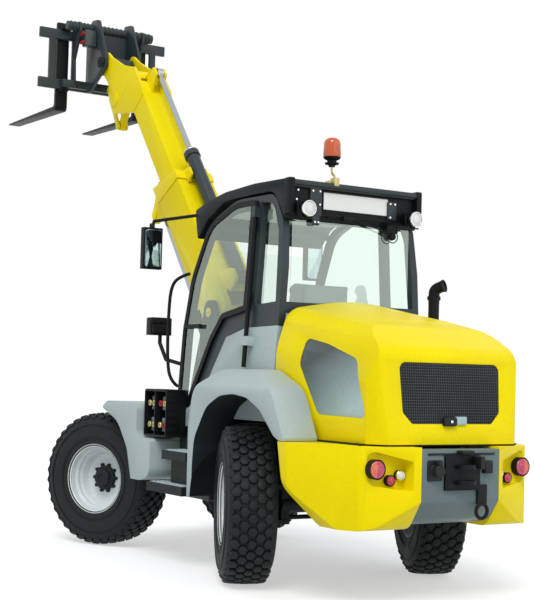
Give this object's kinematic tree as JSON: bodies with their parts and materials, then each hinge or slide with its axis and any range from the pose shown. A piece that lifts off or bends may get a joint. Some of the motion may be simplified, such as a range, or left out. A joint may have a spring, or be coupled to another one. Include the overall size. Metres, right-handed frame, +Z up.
{
  "type": "telescopic wheel loader",
  "caption": "Compact four-wheel-steer loader with a telescopic boom, pallet forks on a quick coupler, a glazed cab and a rear engine under a hinged hood.",
  "frame": {"origin": "on the floor at the middle of the machine's own box", "axes": "+X forwards, +Y to the left, +Z up"},
  "size_m": [6.3636, 2.0346, 4.4529],
  "materials": {
    "yellow_paint": "gloss paint",
    "grey_moulding": "moulded, satin",
    "slate_paint": "semi-gloss paint",
    "dark_steel": "satin paint",
    "black_steel": "satin paint",
    "silver_rim": "satin silver paint",
    "tyre_rubber": "moulded rubber",
    "chrome_rod": "hard chrome, polished",
    "tinted_glass": "green tinted",
    "black_plastic": "fine grain",
    "seat_cloth": "woven cloth",
    "amber_lens": "clear amber",
    "plate_white": "plain"
  },
  "bodies": {
    "chassis": {"main_frame": "dark_steel", "front_axle": "dark_steel", "rear_axle": "dark_steel", "driveline": "dark_steel", "engine_block": "dark_steel", "cab_frame": "slate_paint", "cab_roof": "slate_paint", "cab_body": "grey_moulding", "cab_glass": "tinted_glass", "seat_base": "black_plastic", "seat_cushions": "seat_cloth", "steering_column": "black_plastic", "rear_bumper": "yellow_paint", "hitch_panel": "slate_paint", "tow_hitch": "black_steel", "rear_fenders": "grey_moulding", "front_fenders": "grey_moulding", "side_tanks": "slate_paint", "steps": "dark_steel", "lamps": "black_plastic", "mirrors": "black_plastic", "beacon": "amber_lens", "number_plate": "plate_white", "exhaust_pipe": "black_steel", "valve_block": "black_steel"},
    "hood": {"hood": "yellow_paint", "hood_grille": "black_plastic", "hood_side_panels": "grey_moulding"},
    "door": {"door_frame": "black_steel", "door_glass": "tinted_glass"},
    "boom": {"outer_boom": "yellow_paint", "telescope_barrel": "slate_paint"},
    "lift_barrel": {"lift_barrel": "dark_steel"},
    "lift_rod": {"lift_rod": "chrome_rod"},
    "inner_boom": {"inner_boom": "yellow_paint", "telescope_rod": "chrome_rod"},
    "tilt_rocker": {"tilt_rocker": "yellow_paint"},
    "tilt_link": {"tilt_link": "yellow_paint"},
    "carriage": {"quick_coupler": "slate_paint", "fork_carriage": "slate_paint", "forks": "black_steel"},
    "front_left_knuckle": {"front_left_knuckle": "dark_steel"},
    "front_left_wheel": {"front_left_tyre": "tyre_rubber", "front_left_rim": "silver_rim"},
    "front_right_knuckle": {"front_right_knuckle": "dark_steel"},
    "front_right_wheel": {"front_right_tyre": "tyre_rubber", "front_right_rim": "silver_rim"},
    "front_tie_rod": {"front_tie_rod": "dark_steel"},
    "rear_left_knuckle": {"rear_left_knuckle": "dark_steel"},
    "rear_left_wheel": {"rear_left_tyre": "tyre_rubber", "rear_left_rim": "silver_rim"},
    "rear_right_knuckle": {"rear_right_knuckle": "dark_steel"},
    "rear_right_wheel": {"rear_right_tyre": "tyre_rubber", "rear_right_rim": "silver_rim"},
    "rear_tie_rod": {"rear_tie_rod": "dark_steel"}
  },
  "joints": [
    {"name": "front_left_steer", "type": "hinge", "parent": "chassis", "child": "front_left_knuckle", "pos_m": [0.26347, 0.555, 0.495], "axis": [0, 0, 1], "range_deg": [-65, 15]},
    {"name": "front_left_wheel_spin", "type": "hinge", "parent": "front_left_knuckle", "child": "front_left_wheel", "pos_m": [0.20008, 0.69095, 0.495], "axis": [-0.4226, 0.9063, 0], "continuous": true},
    {"name": "front_right_steer", "type": "hinge", "parent": "chassis", "child": "front_right_knuckle", "pos_m": [0.26347, -0.555, 0.495], "axis": [0, 0, 1], "range_deg": [-65, 15]},
    {"name": "front_right_wheel_spin", "type": "hinge", "parent": "front_right_knuckle", "child": "front_right_wheel", "pos_m": [0.32687, -0.69095, 0.495], "axis": [-0.4226, 0.9063, 0], "continuous": true},
    {"name": "front_tie_rod_swing", "type": "hinge", "parent": "front_left_knuckle", "child": "front_tie_rod", "pos_m": [0.11846, 0.48738, 0.39], "axis": [0, 0, 1], "range_deg": [-15, 65]},
    {"name": "rear_left_steer", "type": "hinge", "parent": "chassis", "child": "rear_left_knuckle", "pos_m": [-1.88653, 0.555, 0.495], "axis": [0, 0, 1], "range_deg": [-15, 65]},
    {"name": "rear_left_wheel_spin", "type": "hinge", "parent": "rear_left_knuckle", "child": "rear_left_wheel", "pos_m": [-1.82313, 0.69095, 0.495], "axis": [0.4226, 0.9063, 0], "continuous": true},
    {"name": "rear_right_steer", "type": "hinge", "parent": "chassis", "child": "rear_right_knuckle", "pos_m": [-1.88653, -0.555, 0.495], "axis": [0, 0, 1], "range_deg": [-15, 65]},
    {"name": "rear_right_wheel_spin", "type": "hinge", "parent": "rear_right_knuckle", "child": "rear_right_wheel", "pos_m": [-1.94992, -0.69095, 0.495], "axis": [0.4226, 0.9063, 0], "continuous": true},
    {"name": "rear_tie_rod_swing", "type": "hinge", "parent": "rear_left_knuckle", "child": "rear_tie_rod", "pos_m": [-1.74152, 0.48738, 0.39], "axis": [0, 0, 1], "range_deg": [-65, 15]},
    {"name": "boom_lift", "type": "hinge", "parent": "chassis", "child": "boom", "pos_m": [-0.45153, 0, 1.76], "axis": [0, -1, 0], "range_deg": [-80, 4]},
    {"name": "lift_barrel_swing", "type": "hinge", "parent": "chassis", "child": "lift_barrel", "pos_m": [-0.71153, 0, 0.8], "axis": [0, -1, 0], "range_deg": [-50.8, 2.6]},
    {"name": "lift_rod_slide", "type": "slide", "parent": "lift_barrel", "child": "lift_rod", "axis": [0.6132, 0, 0.7899], "range_m": [-0.98, 0.05]},
    {"name": "telescope", "type": "slide", "parent": "boom", "child": "inner_boom", "axis": [0.6267, 0, 0.7792], "range_m": [-0.78, 0.1]},
    {"name": "tool_tilt", "type": "hinge", "parent": "inner_boom", "child": "carriage", "pos_m": [1.65653, 0, 4.02993], "axis": [0, 1, 0], "range_deg": [-95, 45]},
    {"name": "tilt_rocker_swing", "type": "hinge", "parent": "inner_boom", "child": "tilt_rocker", "pos_m": [1.45022, 0, 3.66971], "axis": [0, 1, 0], "range_deg": [-95, 45]},
    {"name": "tilt_link_swing", "type": "hinge", "parent": "tilt_rocker", "child": "tilt_link", "pos_m": [1.57451, 0, 3.4644], "axis": [0, 1, 0], "range_deg": [-45, 95]},
    {"name": "door_swing", "type": "hinge", "parent": "chassis", "child": "door", "pos_m": [-1.62853, 0.57805, 1.90505], "axis": [0, -0.0593, 0.9982], "range_deg": [0, 110]},
    {"name": "hood_lift", "type": "hinge", "parent": "chassis", "child": "hood", "pos_m": [-2.02153, 0, 1.755], "axis": [0, 1, 0], "range_deg": [0, 45]}
  ],
  "couplings": [
    {"joint": "front_right_steer", "follows": "front_left_steer", "ratio": 1},
    {"joint": "rear_left_steer", "follows": "front_left_steer", "ratio": -1},
    {"joint": "rear_right_steer", "follows": "front_left_steer", "ratio": -1},
    {"joint": "front_tie_rod_swing", "follows": "front_left_steer", "ratio": -1},
    {"joint": "rear_tie_rod_swing", "follows": "front_left_steer", "ratio": 1},
    {"joint": "lift_barrel_swing", "follows": "boom_lift", "ratio": 0.634},
    {"joint": "lift_rod_slide", "follows": "boom_lift", "m_per_rad": 0.7},
    {"joint": "tilt_rocker_swing", "follows": "tool_tilt", "ratio": 1},
    {"joint": "tilt_link_swing", "follows": "tool_tilt", "ratio": -1}
  ]
}
